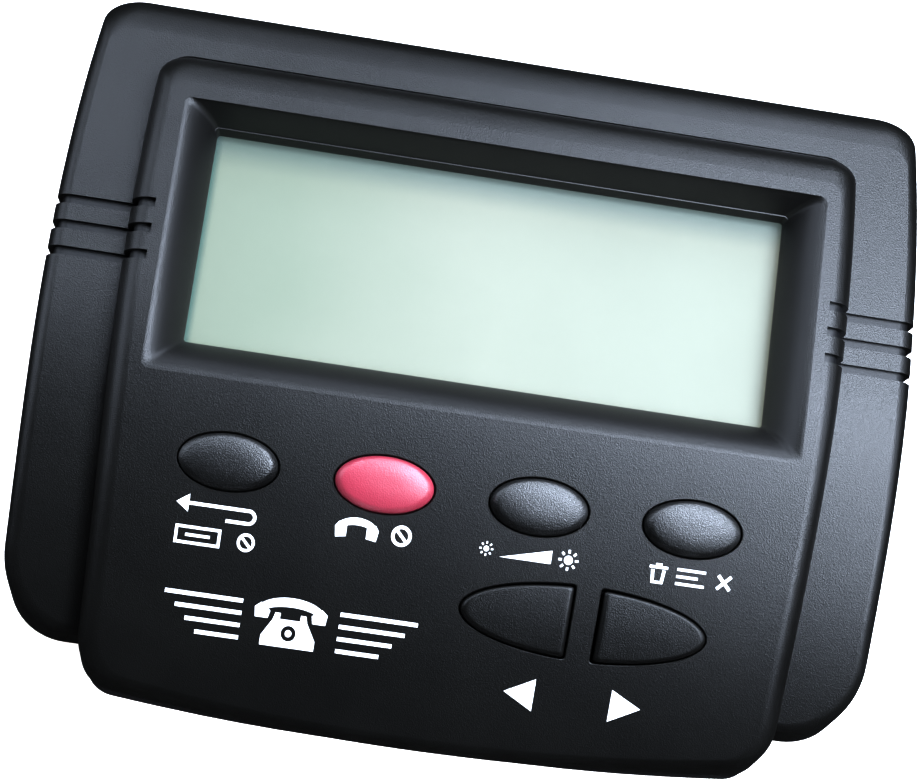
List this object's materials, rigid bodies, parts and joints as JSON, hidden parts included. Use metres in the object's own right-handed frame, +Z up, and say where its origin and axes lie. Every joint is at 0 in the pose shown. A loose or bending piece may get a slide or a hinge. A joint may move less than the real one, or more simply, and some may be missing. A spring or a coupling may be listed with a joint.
{
  "type": "telephone call blocker",
  "caption": "Wedge-shaped desktop telephone call blocker with a recessed caller display, sprung keys, two line sockets and a sliding battery door.",
  "frame": {"origin": "centre of the overall box, on the plane the rubber feet stand on", "axes": "+X to the right of the person using it, +Y to the rear where the sockets are, +Z up"},
  "size_m": [0.1102, 0.0858, 0.0388],
  "materials": {
    "case_black": "black ABS with a fine spark-eroded grain",
    "base_black": "black ABS, fine grain",
    "key_black": "black ABS, sandy texture",
    "key_red": "red ABS, sandy texture",
    "window_clear": "clear polished acrylic",
    "lcd_face": "pale mint reflective display glass",
    "frame_white": "white moulded ABS",
    "light_guide": "milky acrylic",
    "zebra_rubber": "layered conductive rubber",
    "board_green": "solder-masked fibreglass board",
    "chip_black": "moulded epoxy",
    "tin": "tinned steel",
    "spring_steel": "nickel plated spring steel",
    "gold": "gold-flashed phosphor bronze",
    "screw_steel": "zinc plated steel",
    "relay_blue": "moulded relay case",
    "cap_sleeve": "shrink-sleeved can",
    "jack_grey": "moulded grey nylon",
    "wire_red": "PVC insulation",
    "cell_sleeve": "printed battery sleeve",
    "mat_silicone": "moulded grey silicone",
    "foot_rubber": "black rubber"
  },
  "bodies": {
    "case": {"aaa_cell_front": "cell_sleeve", "aaa_cell_rear": "cell_sleeve", "backlight_leds": "frame_white", "backlight_panel": "light_guide", "battery_contact_plates": "spring_steel", "battery_leads": "wire_red", "battery_springs": "spring_steel", "board_link": "gold", "board_screws": "screw_steel", "bottom_case": "base_black", "case_screws": "screw_steel", "controller_chip": "chip_black", "crystal": "tin", "display_window": "window_clear", "keypad_mat": "mat_silicone", "lcd_glass": "lcd_face", "lcd_holder": "frame_white", "line_board": "board_green", "line_board_screws": "screw_steel", "line_capacitor": "cap_sleeve", "line_jack": "jack_grey", "line_jack_contacts": "gold", "line_relay": "relay_blue", "main_board": "board_green", "memory_chip": "chip_black", "phone_jack": "jack_grey", "phone_jack_contacts": "gold", "rubber_foot_front_left": "foot_rubber", "rubber_foot_front_right": "foot_rubber", "rubber_foot_rear_left": "foot_rubber", "rubber_foot_rear_right": "foot_rubber", "top_case": "case_black", "zebra_strip": "zebra_rubber"},
    "battery_door": {"battery_door": "base_black"},
    "button_back": {"button_back": "key_black"},
    "button_block": {"button_block": "key_red"},
    "button_bright": {"button_bright": "key_black"},
    "button_delete": {"button_delete": "key_black"},
    "button_left": {"button_left": "key_black"},
    "button_right": {"button_right": "key_black"}
  },
  "joints": [
    {"name": "battery_door_slide", "type": "slide", "parent": "case", "child": "battery_door", "axis": [0, 1, 0], "range_m": [0, 0.03]},
    {"name": "key_back_press", "type": "slide", "parent": "case", "child": "button_back", "axis": [0, -0.2079, 0.9781], "range_m": [-0.001, 0], "stiffness_N_per_m": 1200, "deforming": ["keypad_mat"]},
    {"name": "key_block_press", "type": "slide", "parent": "case", "child": "button_block", "axis": [0, -0.2079, 0.9781], "range_m": [-0.001, 0], "stiffness_N_per_m": 1200, "deforming": ["keypad_mat"]},
    {"name": "key_bright_press", "type": "slide", "parent": "case", "child": "button_bright", "axis": [0, -0.2079, 0.9781], "range_m": [-0.001, 0], "stiffness_N_per_m": 1200, "deforming": ["keypad_mat"]},
    {"name": "key_delete_press", "type": "slide", "parent": "case", "child": "button_delete", "axis": [0, -0.2079, 0.9781], "range_m": [-0.001, 0], "stiffness_N_per_m": 1200, "deforming": ["keypad_mat"]},
    {"name": "key_left_press", "type": "slide", "parent": "case", "child": "button_left", "axis": [0, -0.2079, 0.9781], "range_m": [-0.001, 0], "stiffness_N_per_m": 1200, "deforming": ["keypad_mat"]},
    {"name": "key_right_press", "type": "slide", "parent": "case", "child": "button_right", "axis": [0, -0.2079, 0.9781], "range_m": [-0.001, 0], "stiffness_N_per_m": 1200, "deforming": ["keypad_mat"]}
  ]
}
